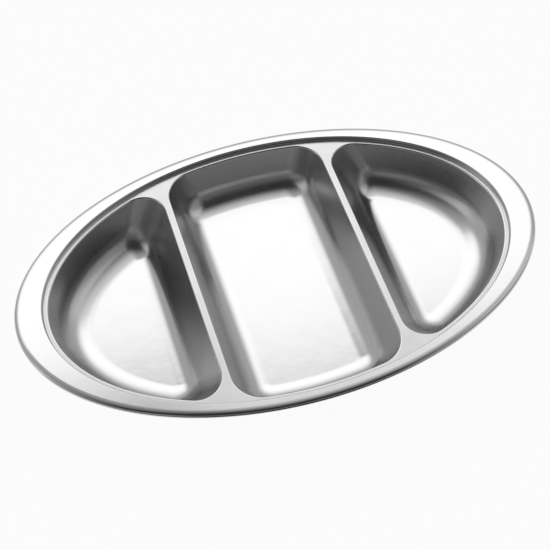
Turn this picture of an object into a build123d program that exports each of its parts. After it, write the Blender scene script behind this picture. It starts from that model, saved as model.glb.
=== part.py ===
from build123d import *
import math
import os

# Oval three-division serving dish, pressed from one sheet of stainless steel.
# Millimetres, +Z up, +X along the long axis.
# The origin is on the table, under the middle of the centre well.

# Overall
overall_length = 350.0
overall_width = 214.0
overall_height = 32.0
sheet = 0.7

# The rim's ovals are tangent arcs, so that the rolled edge is plain tubes: where the end arcs stop
# and the side arcs start, as the way the outline faces, in degrees from the long axis
end_arc_stop = 29.0
side_arc_start = 65.0

# Rim: a flange, wide at the ends for the hands, whose edge droops and is then rolled under
end_flange_width = 18.2
side_flange_width = 7.6
droop_radius = 10.0
droop_angle = 16.0
roll_diameter = 4.0
roll_turn = 280.0

# Step inside the flange, where a lid would drop in, and the ledge at its foot
step_depth = 3.1
step_draft = 5.0
step_top_radius = 0.9
step_foot_radius = 0.6
ledge_width = 3.5

# Dividers: two hollow ridges pressed up between the wells
divider_spacing = 114.6
divider_width = 4.7
divider_draft_to_centre = 23.0
divider_draft_to_ends = 30.0

# Wells: the corners of the two end ones are tighter than those of the centre one.
# A corner is a little wider at the floor than the bend there, so that the bend can run round it.
outer_wall_draft = 17.0
lip_radius = 1.2
centre_corner_radius = 20.0
centre_floor_radius = 16.0
end_corner_radius = 16.0
end_floor_radius = 13.0
corner_ease = 1.0

# Heights of the upper faces
flange_top = overall_height
deck_top = flange_top - step_depth
floor_top = sheet

# Half sizes of the ovals, as (along X, along Y)
rim_oval = (overall_length / 2, overall_width / 2)
recess_oval = (rim_oval[0] - end_flange_width, rim_oval[1] - side_flange_width)
lip_oval = (recess_oval[0] - ledge_width, recess_oval[1] - ledge_width)

# Centre line of the rolled edge's tube, and how far the level flange stops short of the rim
droop_sin = math.sin(math.radians(droop_angle))
droop_cos = math.cos(math.radians(droop_angle))
roll_radius = roll_diameter / 2
roll_height = flange_top - droop_radius * (1 - droop_cos) - roll_radius * droop_cos
edge_width = droop_radius * droop_sin + roll_radius * (1 - droop_sin)


def run(drop, draft):
    """How far a drafted wall runs in over a given drop."""
    return drop * math.tan(math.radians(draft))


def oval(z, half_sizes, growth):
    """Oval face at height z, within half a millimetre of an ellipse, grown by the same amount all round.

    The end arcs have the ellipse's own radius there. The shoulder and side arcs then have the two radii
    that bring the outline to the end of the short axis.
    """
    length, width = half_sizes
    end_cos = math.cos(math.radians(end_arc_stop))
    end_sin = math.sin(math.radians(end_arc_stop))
    side_cos = math.cos(math.radians(side_arc_start))
    side_sin = math.sin(math.radians(side_arc_start))

    # What the end arc leaves of each half size is shared by the other two arcs
    end_radius = width**2 / length
    length_left = length - end_radius * (1 - end_cos)
    width_left = width - end_radius * end_sin
    both = (end_cos - side_cos) * (1 - side_sin) - side_cos * (side_sin - end_sin)
    shoulder_radius = (length_left * (1 - side_sin) - width_left * side_cos) / both
    side_radius = (width_left * (end_cos - side_cos) - length_left * (side_sin - end_sin)) / both

    with BuildSketch(Plane.XY.offset(z)) as face:
        with BuildLine():
            end_centre = (length - end_radius, 0)
            end = CenterArc(end_centre, end_radius + growth, -end_arc_stop, 2 * end_arc_stop)
            shoulder = JernArc(end @ 1, end % 1, shoulder_radius + growth, side_arc_start - end_arc_stop)
            mirror(shoulder, about=Plane.XZ)
            mirror(about=Plane.YZ)
            side = JernArc(shoulder @ 1, shoulder % 1, side_radius + growth, 180 - 2 * side_arc_start)
            mirror(side, about=Plane.XZ)
        make_face()
    return face.sketch


def recess(skin):
    """Plug that fills the step's recess; skin is the sheet's thickness outside it, or 0."""
    with BuildPart() as plug:
        extrude(oval(flange_top, recess_oval, skin), amount=-(step_depth + skin), taper=step_draft)
    return plug.part


def well_outline(z, outer_inset, divider_inset, corner_radius, place):
    """Plan of one well at height z: the lip's oval, cut straight beside each divider, with round corners.

    place is 0 for the centre well, and +1 or -1 for the well at that end.
    """
    with BuildSketch(Plane.XY.offset(z)) as plan:
        Ellipse(lip_oval[0] - outer_inset, lip_oval[1] - outer_inset)
        if place:
            divider_face = (divider_spacing + divider_width) / 2 + divider_inset
            with Locations((place * (divider_face + overall_length / 2), 0)):
                Rectangle(overall_length, overall_width, mode=Mode.INTERSECT)
        else:
            between_dividers = divider_spacing - divider_width - 2 * divider_inset
            Rectangle(between_dividers, overall_width, mode=Mode.INTERSECT)
        fillet(plan.vertices(), corner_radius)
    return plan.sketch


def well(place, skin):
    """Plug that fills one well, with a rounded floor edge; place is as above and skin as in recess()."""
    drop = deck_top - floor_top + skin
    divider_draft = divider_draft_to_ends if place else divider_draft_to_centre
    corner_radius = end_corner_radius if place else centre_corner_radius
    floor_radius = end_floor_radius if place else centre_floor_radius
    lip = well_outline(deck_top, -skin, -skin, corner_radius + skin, place)
    floor = well_outline(
        deck_top - drop,
        run(drop, outer_wall_draft) - skin,
        run(drop, divider_draft) - skin,
        floor_radius + corner_ease + skin,
        place,
    )
    with BuildPart() as plug:
        loft([lip, floor], ruled=True)
        fillet(plug.faces().sort_by(Axis.Z)[0].edges(), floor_radius + skin)
    return plug.part


places = (-1, 0, 1)
outsides = [recess(sheet)] + [well(place, sheet) for place in places]
hollows = [recess(0)] + [well(place, 0) for place in places]

with BuildPart() as dish:
    # Flange, with the outside of the recess and the wells below it, then their hollows
    extrude(oval(flange_top, rim_oval, -edge_width), amount=-sheet)
    add(outsides)
    add(hollows, mode=Mode.SUBTRACT)

    # Bends of the sheet: every outer bend is the inner one plus the sheet
    levels = dish.faces().filter_by(Plane.XY).group_by(Axis.Z)
    deck_under, deck, flange_under, flange = [faces[0] for faces in levels[-4:]]
    lips = [edge for wire in deck.inner_wires() for edge in wire.edges()]
    lips_under = [edge for wire in deck_under.inner_wires() for edge in wire.edges()]
    fillet(lips, lip_radius)
    fillet(lips_under, lip_radius - sheet)
    fillet(flange.inner_wires()[0].edges(), step_top_radius)
    fillet(flange_under.inner_wires()[0].edges(), step_top_radius - sheet)
    fillet(deck.outer_wire().edges(), step_foot_radius)
    fillet(deck_under.outer_wire().edges(), step_foot_radius + sheet)

    # Rolled edge: the middle of the sheet droops, then curls under, along the rim's oval
    with BuildSketch(Plane.XZ) as curl:
        with BuildLine():
            droop = CenterArc(
                (rim_oval[0] - edge_width, flange_top - droop_radius),
                droop_radius - sheet / 2,
                start_angle=90,
                arc_size=-droop_angle,
            )
            JernArc(droop @ 1, droop % 1, roll_radius - sheet / 2, droop_angle - roll_turn)
        trace(line_width=sheet)
    sweep(sections=curl.sketch, path=oval(roll_height, rim_oval, -roll_radius).wire())

dish.part.label = "dish"

os.makedirs("parts", exist_ok=True)
export_step(dish.part, "parts/dish.step")
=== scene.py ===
import math

import bpy
import numpy as np
from mathutils import Matrix, Vector


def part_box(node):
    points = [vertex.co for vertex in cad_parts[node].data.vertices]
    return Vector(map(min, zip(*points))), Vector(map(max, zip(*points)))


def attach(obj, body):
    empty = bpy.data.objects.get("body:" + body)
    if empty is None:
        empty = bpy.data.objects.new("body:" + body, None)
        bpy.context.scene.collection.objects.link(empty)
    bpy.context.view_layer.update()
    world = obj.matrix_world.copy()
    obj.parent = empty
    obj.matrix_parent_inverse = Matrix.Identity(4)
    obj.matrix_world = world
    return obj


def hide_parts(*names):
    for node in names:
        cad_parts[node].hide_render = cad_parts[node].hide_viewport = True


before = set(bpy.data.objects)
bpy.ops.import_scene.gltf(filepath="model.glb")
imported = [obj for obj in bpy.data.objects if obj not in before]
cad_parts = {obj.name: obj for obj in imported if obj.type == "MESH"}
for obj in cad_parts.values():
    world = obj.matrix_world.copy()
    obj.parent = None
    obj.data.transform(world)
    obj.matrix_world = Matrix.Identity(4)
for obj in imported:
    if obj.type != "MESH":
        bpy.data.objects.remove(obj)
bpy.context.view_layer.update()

# An oval serving dish with three wells, pressed from one sheet of stainless steel.
# Metres, +Z up, +X along the dish.
MM = 0.001
_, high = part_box("dish")

# The sheet and its rolled rim
SHEET = 0.7 * MM
END_FLANGE = 18.2 * MM
SIDE_FLANGE = 7.6 * MM
DROOP_RADIUS = 10 * MM
DROOP_ANGLE = math.radians(16)
ROLL_RADIUS = 2.0 * MM
ROLL_TURN = math.radians(280)

# The step below the flange, and the ledge at its foot
STEP_DEPTH = 3.1 * MM
STEP_DRAFT = math.radians(5)
STEP_TOP_RADIUS = 0.9 * MM
STEP_FOOT_RADIUS = 0.6 * MM
LEDGE = 3.5 * MM

# The wells and the hollow dividers between them
DIVIDER_AT = 57.3 * MM
DIVIDER_WIDTH = 4.7 * MM
DIVIDER_DRAFT_TO_CENTRE = math.radians(23)
DIVIDER_DRAFT_TO_ENDS = math.radians(30)
OUTER_DRAFT = math.radians(17)
LIP_RADIUS = 1.2 * MM

# Radii of the wells' corners in plan: at the lip, where the walls would meet the floor without a bend,
# and the least that the bends may leave
CENTRE_LIP_CORNER = 20 * MM
CENTRE_FLOOR_CORNER = 17 * MM
END_LIP_CORNER = 16 * MM
END_FLOOR_CORNER = 14 * MM
LEAST_CORNER = 1 * MM

# How far the bends to the floor reach up the wall and along the floor, by the oval and by a divider
CENTRE_REACH = ((11.8 * MM, 15.3 * MM), (10.6 * MM, 13.5 * MM))
END_REACH = ((12.5 * MM, 17.5 * MM), (7.5 * MM, 10.5 * MM))

# Heights of the upper faces, and half sizes of the ovals
FLANGE_TOP = high.z
DECK_TOP = FLANGE_TOP - STEP_DEPTH
WELL_DEPTH = DECK_TOP - SHEET
DROOP_DROP = DROOP_RADIUS * (1 - math.cos(DROOP_ANGLE))
ROLL_HEIGHT = FLANGE_TOP - DROOP_DROP - ROLL_RADIUS * math.cos(DROOP_ANGLE)
ROLL_OVAL = (high.x - ROLL_RADIUS, high.y - ROLL_RADIUS)
RECESS_OVAL = (high.x - END_FLANGE, high.y - SIDE_FLANGE)
LIP_OVAL = (RECESS_OVAL[0] - LEDGE, RECESS_OVAL[1] - LEDGE)

# Where a bend starts, in its own radii from the sharp edge between a level face and the step's wall,
# and how far out from the recess's oval the deck ends at the step's foot
STEP_TANGENT = math.tan((math.pi / 2 - STEP_DRAFT) / 2)
STEP_FOOT_AT = -STEP_DEPTH * math.tan(STEP_DRAFT) - STEP_FOOT_RADIUS * STEP_TANGENT

# How many steps each run of the surface is cut into, and the loops on a floor as shares of its outline
STRAIGHT_STEPS = 20
CORNER_STEPS = 16
CENTRE_OVAL_STEPS = 16
END_OVAL_STEPS = 48
BEND_STEPS = 8
WALL_STEPS = 6
FLOOR_BEND_STEPS = 18
FLANGE_STEPS = 6
ROLL_STEPS = 40
FLOOR_SHARES = (0.85, 0.6, 0.3, 0.0)

# How many times a span is halved to find an angle, and how near two points are to be joined
HALVINGS = 60
WELD = 0.001 * MM

# The finishes, by their places in the dish's list of materials
POLISHED, SATIN = 0, 1

# Bare steel's grey, and the height above the table from which a wall is fully roughened by the drawing
STEEL = "#cecece"
DRAWN_HEIGHT = 5 * MM

# Clouds in the gloss: their width, fineness, range of noise, and the share of the roughness that they change
CLOUD_WIDTH = 18 * MM
CLOUD_DETAIL = 3.0
CLOUD_NOISE = (0.3, 0.7)
CLOUD_SPREAD = 0.08

# Widths of the relief on the sheet
RIPPLE_WIDTH = 9 * MM
GRAIN_WIDTH = 0.9 * MM

# The studio: each panel has a strength and the (axis, dark, full) ranges of direction over which it fades.
# X is the direction's own X.
# Pitch is in degrees: 0 is level behind the dish, 90 is overhead and 180 is level in front of it.
STUDIO_DARK = 0.035
STUDIO_PANELS = (
    # A soft box high behind the dish, and its left part, which ends lower
    (1.65, (("pitch", 65.5, 58), ("pitch", 8, 50), ("X", 0, 0.12), ("X", 0.78, 0.32))),
    (1.65, (("pitch", 63, 56), ("pitch", 8, 50), ("X", -0.6, -0.12), ("X", 0.78, 0.32))),
    # The ceiling and the wall behind that it lights
    (1.0, (("pitch", 103, 55), ("pitch", 0, 42), ("X", -0.2, 0.17), ("X", 0.9, 0.4))),
    (0.54, (("pitch", 100, 56),)),
    # A grey board overhead at each side
    (0.75, (("X", 0.3, 0.55), ("pitch", 45, 70), ("pitch", 135, 80))),
    (0.75, (("X", -0.42, -0.65), ("pitch", 45, 70), ("pitch", 135, 80))),
    # The little that comes back from the right, from the front left and from the front
    (0.34, (("X", 0.3, 0.6),)),
    (0.3, (("X", -0.25, -0.5), ("pitch", 115, 150))),
    (0.16, (("pitch", 120, 155),)),
)

# The photograph's view, with a lens in millimetres for the usual 36 mm wide sensor
VIEW_AIM = Vector((-6.5 * MM, -10.2 * MM, 31.8 * MM))
VIEW_AZIMUTH = math.radians(-15.9)
VIEW_ELEVATION = math.radians(54.67)
VIEW_ROLL = math.radians(-2.16)
VIEW_DISTANCE = 818.5 * MM
VIEW_LENS = 82.82

# White paper all round, a hair below the dish
PAPER_WHITE = "#fafafa"
PAPER_REACH = 40.0
PAPER_HEIGHT = -0.2 * MM
PAPER_WHITE_SHARE = 0.95

# Black card in front of the dish
CARD_BLACK = "#101010"
CARD_LOW = (-420 * MM, -1200 * MM)
CARD_HIGH = (160 * MM, -130 * MM)
CARD_HEIGHT = 1 * MM


def stacked(*parts):
    """Coordinates side by side on a last axis."""
    return np.stack(np.broadcast_arrays(*parts), axis=-1)


def oval(angle, half_x, half_y, grow=0.0):
    """Points of an ellipse moved out along its normal by grow, and those normals.

    The point is (half_x cos angle, half_y sin angle).
    The normal is (cos angle / half_x, sin angle / half_y) made one long.
    """
    normal = stacked(np.cos(angle) / half_x, np.sin(angle) / half_y)
    normal = normal / np.linalg.norm(normal, axis=-1, keepdims=True)
    points = stacked(half_x * np.cos(angle), half_y * np.sin(angle))
    return points + np.asarray(grow)[..., None] * normal, normal


def angle_where(falling, target):
    """The angle from 0 to a quarter turn at which a falling function meets target, by halving the span."""
    below = np.zeros_like(target)
    above = np.full_like(target, math.pi / 2)
    for _ in range(HALVINGS):
        middle = (below + above) / 2
        short = falling(middle) > target
        below = np.where(short, middle, below)
        above = np.where(short, above, middle)
    return (below + above) / 2


def wall_section(depth, draft, wall_reach, floor_reach):
    """Inset and tilt of a well's wall at each depth below the deck, and what the bends add to the inset.

    The wall leans in by depth times tan(draft), and the lip is an arc tangent to the deck and the wall.
    The bend to the floor is a parabola tangent to the wall and the floor. With climb from 0 on the floor to
    1 on the wall, it lies climb squared times wall_reach up the wall, and (1 - climb) squared times
    floor_reach along the floor, from the sharp corner between them. The tilt is from level.
    """
    slope = math.tan(draft)
    shoulder = math.tan((math.pi / 2 - draft) / 2)
    on_lip = depth < LIP_RADIUS * (1 - math.sin(draft))
    lip_cos = np.clip(1 - depth / LIP_RADIUS, 0, 1)
    lip_inset = LIP_RADIUS * (np.sqrt(1 - lip_cos**2) - shoulder)

    rise = wall_reach * math.cos(draft)
    lean = wall_reach * math.sin(draft)
    climb = np.sqrt(np.clip((WELL_DEPTH - depth) / rise, 0, 1))
    bend_inset = WELL_DEPTH * slope + (1 - climb) ** 2 * floor_reach - climb**2 * lean
    bend_tilt = np.arctan2(climb * rise, (1 - climb) * floor_reach + climb * lean)
    on_bend = climb < 1

    inset = np.select([on_lip, on_bend], [lip_inset, bend_inset], depth * slope)
    tilt = np.select([on_lip, on_bend], [np.arccos(lip_cos), bend_tilt], math.pi / 2 - draft)
    return inset, tilt, inset - depth * slope


def well_quarter(divider, side, half_x, half_y, corner, oval_steps):
    """A well's outline from the middle of a divider's face to the oval's axis, one row per level.

    Straight along x = divider, then round a circle that touches the straight and the oval, then along the
    oval. side is +1 where the divider stands on the +X side of the well, and -1 where it is on the -X side.
    Returns the points, their outward normals in plan, and an eased share: 0 by the divider, 1 by the oval.
    """
    centre_x = divider - side * corner
    touch = angle_where(lambda angle: oval(angle, half_x, half_y, -corner)[0][..., 0], centre_x)
    touch_centre, touch_normal = oval(touch, half_x, half_y, -corner)
    centre_y = touch_centre[..., 1]

    share = np.linspace(0, 1, STRAIGHT_STEPS, endpoint=False)
    straight = stacked(divider, centre_y * share)
    straight_normal = np.zeros_like(straight) + (side, 0)

    share = np.linspace(0, 1, CORNER_STEPS, endpoint=False)
    first = 0 if side > 0 else math.pi
    last = np.arctan2(touch_normal[..., 1], touch_normal[..., 0])
    turn = first + (last - first) * share
    corner_normal = stacked(np.cos(turn), np.sin(turn))
    corner_run = stacked(centre_x, centre_y) + corner[..., None] * corner_normal
    eased = share * share * (3 - 2 * share)

    axis = math.pi / 2 if side > 0 else 0
    along = touch + (axis - touch) * np.linspace(0, 1, oval_steps + 1)
    oval_run, oval_normal = oval(along, half_x, half_y)

    points = np.concatenate([straight, corner_run, oval_run], axis=1)
    normals = np.concatenate([straight_normal, corner_normal, oval_normal], axis=1)
    towards_oval = np.concatenate([np.zeros(STRAIGHT_STEPS), eased, np.ones(oval_steps + 1)])
    return points, normals, towards_oval


def closed(quarter, mirrors):
    """One loop from mirrored copies of a run, every second one taken backwards."""
    runs = [quarter[:, ::-1] if number % 2 else quarter for number in range(len(mirrors))]
    return np.concatenate([(run * mirror)[:, :-1] for run, mirror in zip(runs, mirrors)], axis=1)


def foot_angles(oval_steps, axis):
    """Angles on the step's foot, evenly from the divider's middle line to an axis."""
    divider_line = np.array([DIVIDER_AT])
    start = angle_where(lambda angle: oval(angle, *RECESS_OVAL, STEP_FOOT_AT)[0][..., 0], divider_line)[0]
    return np.linspace(start, axis, CORNER_STEPS // 2 + oval_steps + 1)


def well_patch(side, mirrors):
    """Upper face of one well with its share of the deck, as closed loops from the deck's edge to the middle.

    Each loop is the well's outline at one depth, with the insets that wall_section gives on its two kinds of
    wall. side is +1 for the centre well and -1 for an end one, as in well_quarter.
    """
    centre = side > 0
    lip_corner = CENTRE_LIP_CORNER if centre else END_LIP_CORNER
    floor_corner = CENTRE_FLOOR_CORNER if centre else END_FLOOR_CORNER
    divider_draft = DIVIDER_DRAFT_TO_CENTRE if centre else DIVIDER_DRAFT_TO_ENDS
    outer_reach, divider_reach = CENTRE_REACH if centre else END_REACH
    oval_steps = CENTRE_OVAL_STEPS if centre else END_OVAL_STEPS

    # Depths of the loops: evenly turned on the lip, even down the wall, and ever closer down the bend
    lip_turn = np.linspace(0, math.pi / 2 - OUTER_DRAFT, BEND_STEPS + 1)
    lip = LIP_RADIUS * (1 - np.cos(lip_turn))
    bend_rise = outer_reach[0] * math.cos(OUTER_DRAFT)
    bend = WELL_DEPTH - bend_rise * np.linspace(1, 0, FLOOR_BEND_STEPS + 1) ** 2
    wall = np.linspace(lip[-1], bend[0], WALL_STEPS + 1)[1:-1]
    depth = np.concatenate([lip, wall, bend])[:, None]

    outer_inset, outer_tilt, outer_extra = wall_section(depth, OUTER_DRAFT, *outer_reach)
    divider_inset, divider_tilt, divider_extra = wall_section(depth, divider_draft, *divider_reach)
    corner = lip_corner + (floor_corner - lip_corner) * depth / WELL_DEPTH
    corner = np.maximum(corner - (outer_extra + divider_extra) / 2, LEAST_CORNER)
    plan, plan_normal, towards_oval = well_quarter(
        DIVIDER_AT - side * (DIVIDER_WIDTH / 2 + divider_inset),
        side,
        LIP_OVAL[0] - outer_inset,
        LIP_OVAL[1] - outer_inset,
        corner,
        oval_steps,
    )
    tilt = divider_tilt + (outer_tilt - divider_tilt) * towards_oval

    # The deck's edge: half of the corner's steps follow the divider's middle line and half the step's foot
    axis = math.pi / 2 if centre else 0
    foot, _ = oval(foot_angles(oval_steps, axis), *RECESS_OVAL, STEP_FOOT_AT)
    share = np.linspace(0, 1, STRAIGHT_STEPS + CORNER_STEPS // 2, endpoint=False)
    edge = np.concatenate([stacked(DIVIDER_AT, foot[0, 1] * share), foot])[None]

    loops = closed(np.concatenate([edge, plan]), mirrors)
    loop_normals = closed(np.concatenate([plan_normal[:1], plan_normal]), mirrors)
    tilts = closed(np.concatenate([0 * tilt[:1], tilt])[..., None], [(1,)] * len(mirrors))
    heights = np.concatenate([[DECK_TOP], DECK_TOP - depth[:, 0]])

    # The level floor shrinks to one point in the middle
    middle = loops[-1].mean(axis=0)
    floor = [middle + (loops[-1] - middle) * share for share in FLOOR_SHARES]
    floor_rows = len(floor)
    loops = np.concatenate([loops, floor])
    loop_normals = np.concatenate([loop_normals, np.repeat(loop_normals[-1:], floor_rows, axis=0)])
    tilts = np.concatenate([tilts, np.zeros((floor_rows,) + tilts.shape[1:])])
    heights = np.concatenate([heights, np.full(floor_rows, heights[-1])])

    points = np.concatenate([loops, np.broadcast_to(heights[:, None, None], tilts.shape)], axis=-1)
    normals = np.concatenate([-loop_normals * np.sin(tilts), np.cos(tilts)], axis=-1)
    return points, normals


def rim_section():
    """The rim's section from the step's foot to the end of the roll.

    For each point: 0 on the recess's oval to 1 on the roll's, how far out from that oval, the height, and
    the tilt of its normal, outwards positive. Every bend is an arc: one at the step's foot, one at its top,
    a wide one on which the flange's edge droops, and the one that rolls it under.
    """
    turn = np.linspace(0, math.pi / 2 - STEP_DRAFT, BEND_STEPS + 1)
    foot_out = STEP_FOOT_AT + STEP_FOOT_RADIUS * np.sin(turn)
    foot_height = DECK_TOP + STEP_FOOT_RADIUS * (1 - np.cos(turn))
    top_out = STEP_TOP_RADIUS * (STEP_TANGENT - np.sin(turn[::-1]))
    top_height = FLANGE_TOP - STEP_TOP_RADIUS * (1 - np.cos(turn[::-1]))

    droop = np.linspace(0, DROOP_ANGLE, BEND_STEPS + 1)[:-1]
    droop_out = DROOP_RADIUS * np.sin(droop) + (ROLL_RADIUS - DROOP_RADIUS) * math.sin(DROOP_ANGLE)
    droop_height = FLANGE_TOP - DROOP_RADIUS * (1 - np.cos(droop))
    roll = np.linspace(DROOP_ANGLE, ROLL_TURN, ROLL_STEPS + 1)
    roll_out = ROLL_RADIUS * np.sin(roll)
    roll_height = ROLL_HEIGHT + ROLL_RADIUS * np.cos(roll)

    flange = np.linspace(0, 1, FLANGE_STEPS + 1)[1:-1]
    flange_out = top_out[-1] + (droop_out[0] - top_out[-1]) * flange
    flange_height = np.full(len(flange), FLANGE_TOP)

    across = np.concatenate([np.zeros(2 * len(turn)), flange, np.ones(len(droop) + len(roll))])
    out = np.concatenate([foot_out, top_out, flange_out, droop_out, roll_out])
    height = np.concatenate([foot_height, top_height, flange_height, droop_height, roll_height])
    tilt = np.concatenate([-turn, -turn[::-1], 0 * flange, droop, roll])
    return across, out, height, tilt


def rim_patch():
    """Upper face of the rim: rim_section carried round between the recess's oval and the roll's.

    Returns the points, their normals, and at the last loop the way in which the sheet runs on.
    """
    end = foot_angles(END_OVAL_STEPS, 0)[::-1]
    side = foot_angles(CENTRE_OVAL_STEPS, math.pi / 2)
    quarter = np.concatenate([end[:-1], side])
    half = np.concatenate([quarter[:-1], math.pi - quarter[::-1]])
    around = np.concatenate([half[:-1], half[:-1] + math.pi])

    across, out, height, tilt = [part[:, None, None] for part in rim_section()]
    recess_line, recess_normal = oval(around, *RECESS_OVAL)
    roll_line, roll_normal = oval(around, *ROLL_OVAL)
    outward = recess_normal + (roll_normal - recess_normal) * across
    outward = outward / np.linalg.norm(outward, axis=-1, keepdims=True)
    plan = recess_line + (roll_line - recess_line) * across + out * outward

    one_each = plan.shape[:2] + (1,)
    points = np.concatenate([plan, np.broadcast_to(height, one_each)], axis=-1)
    upright = np.broadcast_to(np.cos(tilt), one_each)
    normals = np.concatenate([outward * np.sin(tilt), upright], axis=-1)
    downward = np.broadcast_to(-np.sin(tilt), one_each)
    onward = np.concatenate([outward * np.cos(tilt), downward], axis=-1)
    return points, normals, onward[-1]


def loop_faces(points, normals, first):
    """Corner numbers of the faces between neighbouring loops, turned to agree with the normals.

    first is the number of the grid's first corner. A last loop that is one point gives triangles.
    """
    rows, columns = points.shape[:2]
    number = first + np.arange(rows * columns).reshape(rows, columns)
    after = np.roll(number, -1, axis=1)
    quads = np.stack([number[:-1], after[:-1], after[1:], number[1:]], axis=-1)
    fan = np.stack([number[-2], after[-2], number[-1]], axis=-1)

    corner = points[:-1]
    cross = np.cross(np.roll(points, -1, axis=1)[:-1] - corner, points[1:] - corner)
    if (cross * normals[:-1]).sum() < 0:
        quads, fan = quads[..., ::-1], fan[:, ::-1]

    one_point = np.ptp(points[-1], axis=0).max() == 0
    if one_point:
        return quads[:-1].reshape(-1, 4), fan
    return quads.reshape(-1, 4), fan[:0]


def pressed_sheet(name, patches):
    """One closed mesh of loop grids, joined where their points meet, each corner with its grid's normal.

    patches holds (points, normals, finish of each row of faces).
    """
    points = np.concatenate([grid.reshape(-1, 3) for grid, _, _ in patches])
    normals = np.concatenate([grid_normals.reshape(-1, 3) for _, grid_normals, _ in patches])
    quads, fans, quad_finish, fan_finish = [], [], [], []
    first = 0
    for grid, grid_normals, finish in patches:
        grid_quads, grid_fan = loop_faces(grid, grid_normals, first)
        rows, columns = grid.shape[:2]
        quads.append(grid_quads)
        fans.append(grid_fan)
        quad_finish.append(np.repeat(finish, columns)[: len(grid_quads)])
        fan_finish.append(np.repeat(finish[-1], len(grid_fan)))
        first += rows * columns
    quads = np.concatenate(quads)
    fans = np.concatenate(fans)

    places = np.round(points / WELD).astype(int)
    _, kept, joined = np.unique(places, axis=0, return_index=True, return_inverse=True)
    joined = joined.reshape(-1)

    mesh = bpy.data.meshes.new(name)
    faces = joined[quads].tolist() + joined[fans].tolist()
    mesh.from_pydata(points[kept].tolist(), [], faces)
    finishes = np.concatenate(quad_finish + fan_finish).astype(np.int32)
    mesh.polygons.foreach_set("material_index", finishes)
    mesh.polygons.foreach_set("use_smooth", np.ones(len(faces), bool))
    corners = np.concatenate([quads.reshape(-1), fans.reshape(-1)])
    mesh.normals_split_custom_set(normals[corners].tolist())
    mesh.update()
    piece = bpy.data.objects.new(name, mesh)
    bpy.context.scene.collection.objects.link(piece)
    return piece


def dish_piece():
    """The dish: upper faces of the wells and the rim, the same moved in by the sheet, and the sheet's edge.

    A point of the underside is the upper point less SHEET times its normal. The edge joins the two at the
    end of the roll.
    """
    right_mirrors = [(1, 1), (1, -1)]
    left_mirrors = [(-1, 1), (-1, -1)]
    centre_mirrors = [(1, 1), (-1, 1), (-1, -1), (1, -1)]
    wells = [well_patch(1, centre_mirrors), well_patch(-1, right_mirrors), well_patch(-1, left_mirrors)]
    rim_points, rim_normals, edge_normals = rim_patch()

    # The rows of the rounded lips follow the one row of the deck
    lip_rows = np.arange(1, BEND_STEPS + 1)
    patches = []
    for points, normals in wells:
        finish = np.where(np.isin(np.arange(len(points) - 1), lip_rows), POLISHED, SATIN)
        patches.append((points, normals, finish))
        patches.append((points - SHEET * normals, -normals, np.full(len(finish), SATIN)))
    rim_under = rim_points - SHEET * rim_normals
    rim_finish = np.full(len(rim_points) - 1, POLISHED)
    patches.append((rim_points, rim_normals, rim_finish))
    patches.append((rim_under, -rim_normals, rim_finish))
    edge = np.stack([rim_points[-1], rim_under[-1]])
    patches.append((edge, np.stack([edge_normals, edge_normals]), np.full(1, POLISHED)))
    return pressed_sheet("pressed_dish", patches)


def add(tree, kind, inputs=None, **settings):
    """A new node with its settings, each input set to a value or linked to another node's output."""
    made = tree.nodes.new(kind)
    for name, value in settings.items():
        setattr(made, name, value)
    for socket, value in (inputs or {}).items():
        if isinstance(value, bpy.types.NodeSocket):
            tree.links.new(value, made.inputs[socket])
        else:
            made.inputs[socket].default_value = value
    return made


def linear(hex_colour):
    """Linear red, green, blue and alpha of an sRGB hex colour."""
    channels = [int(hex_colour[place : place + 2], 16) / 255 for place in (1, 3, 5)]
    return tuple(c / 12.92 if c <= 0.04045 else ((c + 0.055) / 1.055) ** 2.4 for c in channels) + (1.0,)


def stainless(name, floor_roughness, roughness, ripple, grain):
    """Stainless steel sheet: gloss that drifts in clouds, a pressing's shallow ripple, and a fine grain.

    The wells' level floors keep the gloss of the flat sheet, and the walls are roughened by the drawing.
    ripple and grain are heights. The real grain is a few hundredths of a millimetre wide, and is drawn
    coarser so that it shows.
    """
    material = bpy.data.materials.new(name)
    material.use_nodes = True
    tree = material.node_tree
    shader = tree.nodes["Principled BSDF"]
    shader.inputs["Base Color"].default_value = linear(STEEL)
    shader.inputs["Metallic"].default_value = 1.0
    place = add(tree, "ShaderNodeTexCoord").outputs["Object"]

    above_table = add(tree, "ShaderNodeSeparateXYZ", {"Vector": place}).outputs["Z"]
    drawn = add(
        tree,
        "ShaderNodeMapRange",
        {
            "Value": above_table,
            "From Min": SHEET,
            "From Max": DRAWN_HEIGHT,
            "To Min": floor_roughness,
            "To Max": roughness,
        },
    ).outputs["Result"]
    clouds = add(
        tree,
        "ShaderNodeTexNoise",
        {"Vector": place, "Scale": 1 / CLOUD_WIDTH, "Detail": CLOUD_DETAIL},
    ).outputs["Fac"]
    gloss = add(
        tree,
        "ShaderNodeMapRange",
        {
            "Value": clouds,
            "From Min": CLOUD_NOISE[0],
            "From Max": CLOUD_NOISE[1],
            "To Min": 1 - CLOUD_SPREAD,
            "To Max": 1 + CLOUD_SPREAD,
        },
    ).outputs["Result"]
    both = add(tree, "ShaderNodeMath", {0: drawn, 1: gloss}, operation="MULTIPLY").outputs[0]
    tree.links.new(both, shader.inputs["Roughness"])

    normal = None
    for width, height in ((RIPPLE_WIDTH, ripple), (GRAIN_WIDTH, grain)):
        relief = add(tree, "ShaderNodeTexNoise", {"Vector": place, "Scale": 1 / width})
        inputs = {"Height": relief.outputs["Fac"], "Distance": height}
        if normal:
            inputs["Normal"] = normal
        normal = add(tree, "ShaderNodeBump", inputs).outputs["Normal"]
    tree.links.new(normal, shader.inputs["Normal"])
    return material


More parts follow.
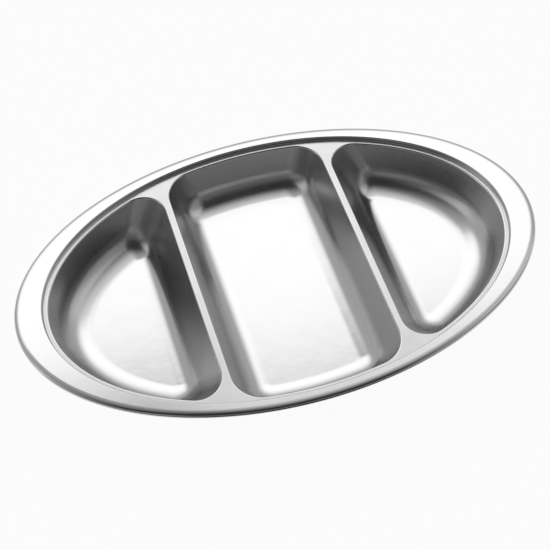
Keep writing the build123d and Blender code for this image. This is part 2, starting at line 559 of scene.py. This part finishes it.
def studio_world():
    """Soft panels round the dish. Each way shows the strongest of the panels that reach it."""
    world = bpy.data.worlds.new("studio")
    bpy.context.scene.world = world
    world.use_nodes = True
    tree = world.node_tree
    place = add(tree, "ShaderNodeTexCoord")
    way = add(tree, "ShaderNodeSeparateXYZ", {"Vector": place.outputs["Generated"]}).outputs
    turn = add(tree, "ShaderNodeMath", {0: way["Z"], 1: way["Y"]}, operation="ARCTAN2").outputs[0]
    pitch = add(tree, "ShaderNodeMath", {0: turn}, operation="DEGREES").outputs[0]
    axes = {"X": way["X"], "pitch": pitch}
    level = STUDIO_DARK
    for strength, fades in STUDIO_PANELS:
        panel = strength
        for axis, dark, full in fades:
            fade = add(
                tree,
                "ShaderNodeMapRange",
                {"Value": axes[axis], "From Min": dark, "From Max": full},
                interpolation_type="SMOOTHSTEP",
            ).outputs["Result"]
            panel = add(tree, "ShaderNodeMath", {0: panel, 1: fade}, operation="MULTIPLY").outputs[0]
        level = add(tree, "ShaderNodeMath", {0: level, 1: panel}, operation="MAXIMUM").outputs[0]
    background = tree.nodes["Background"]
    background.inputs["Color"].default_value = (1, 1, 1, 1)
    tree.links.new(level, background.inputs["Strength"])


def stage_sheet(name, low_corner, high_corner, height, colour):
    """A flat, matt sheet over the table. Returns its material's node tree and its shader's output."""
    (x0, y0), (x1, y1) = low_corner, high_corner
    mesh = bpy.data.meshes.new(name)
    outline = [(x0, y0, height), (x1, y0, height), (x1, y1, height), (x0, y1, height)]
    mesh.from_pydata(outline, [], [(0, 1, 2, 3)])
    sheet = bpy.data.objects.new(name, mesh)
    bpy.context.scene.collection.objects.link(sheet)
    material = bpy.data.materials.new(name)
    material.use_nodes = True
    tree = material.node_tree
    shader = tree.nodes["Principled BSDF"]
    shader.inputs["Base Color"].default_value = linear(colour)
    shader.inputs["Roughness"].default_value = 1.0
    shader.inputs["Specular IOR Level"].default_value = 0.0
    mesh.materials.append(material)
    return tree, shader.outputs["BSDF"]


def mixed(tree, share, first, second):
    """The first shader where share is 0 and the second where it is 1."""
    return add(tree, "ShaderNodeMixShader", {"Fac": share, 1: first, 2: second}).outputs["Shader"]


def paper_floor():
    """White paper: seen straight or mirrored it is mostly plain white, with its shadows.

    From below it is clear, so that the underside can be seen.
    """
    low_corner = (-PAPER_REACH, -PAPER_REACH)
    high_corner = (PAPER_REACH, PAPER_REACH)
    tree, paper = stage_sheet("white paper floor", low_corner, high_corner, PAPER_HEIGHT, PAPER_WHITE)
    rays = add(tree, "ShaderNodeLightPath").outputs
    seen = rays["Is Camera Ray"]
    for kind in ("Is Glossy Ray", "Is Transmission Ray"):
        seen = add(tree, "ShaderNodeMath", {0: seen, 1: rays[kind]}, operation="MAXIMUM").outputs[0]
    share = add(tree, "ShaderNodeMath", {0: seen, 1: PAPER_WHITE_SHARE}, operation="MULTIPLY").outputs[0]
    white = add(tree, "ShaderNodeEmission", {"Color": (1, 1, 1, 1), "Strength": 1.0}).outputs["Emission"]
    clear = add(tree, "ShaderNodeBsdfTransparent").outputs["BSDF"]
    below = add(tree, "ShaderNodeNewGeometry").outputs["Backfacing"]
    surface = mixed(tree, below, mixed(tree, share, paper, white), clear)
    tree.links.new(surface, tree.nodes["Material Output"].inputs["Surface"])


def black_card():
    """Black card in front of the dish. Only the steel mirrors it, which keeps the near edge dark."""
    tree, card = stage_sheet("black card in front", CARD_LOW, CARD_HIGH, CARD_HEIGHT, CARD_BLACK)
    mirrored = add(tree, "ShaderNodeLightPath").outputs["Is Glossy Ray"]
    clear = add(tree, "ShaderNodeBsdfTransparent").outputs["BSDF"]
    tree.links.new(mixed(tree, mirrored, clear, card), tree.nodes["Material Output"].inputs["Surface"])


def photo_camera():
    """The photograph's view: from the front left, well above the dish, with the camera turned a little."""
    flat = math.cos(VIEW_ELEVATION)
    back_x = math.sin(VIEW_AZIMUTH) * flat
    back_y = -math.cos(VIEW_AZIMUTH) * flat
    back = Vector((back_x, back_y, math.sin(VIEW_ELEVATION)))
    right = Vector((math.cos(VIEW_AZIMUTH), math.sin(VIEW_AZIMUTH), 0))
    turned = Matrix((right, back.cross(right), back)).transposed() @ Matrix.Rotation(VIEW_ROLL, 3, "Z")
    data = bpy.data.cameras.new("photo view")
    data.lens = VIEW_LENS
    camera = bpy.data.objects.new("photo view", data)
    camera.matrix_world = Matrix.Translation(VIEW_AIM + VIEW_DISTANCE * back) @ turned.to_4x4()
    bpy.context.scene.collection.objects.link(camera)
    bpy.context.scene.camera = camera


dish = dish_piece()

# Buffed, the rim and the rounded lips mirror the studio, in clear bright and dark lines along every bend
polished = stainless(
    "polished stainless steel",
    floor_roughness=0.1,
    roughness=0.1,
    ripple=0.015 * MM,
    grain=0.001 * MM,
)

# Left satin by the drawing, the walls smear the same light softly, and the level floors shine almost white
satin = stainless(
    "satin stainless steel",
    floor_roughness=0.13,
    roughness=0.3,
    ripple=0.03 * MM,
    grain=0.004 * MM,
)
dish.data.materials.append(polished)
dish.data.materials.append(satin)
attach(dish, "root")
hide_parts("dish")

studio_world()
paper_floor()
black_card()
photo_camera()
bpy.context.scene.view_settings.view_transform = "Standard"
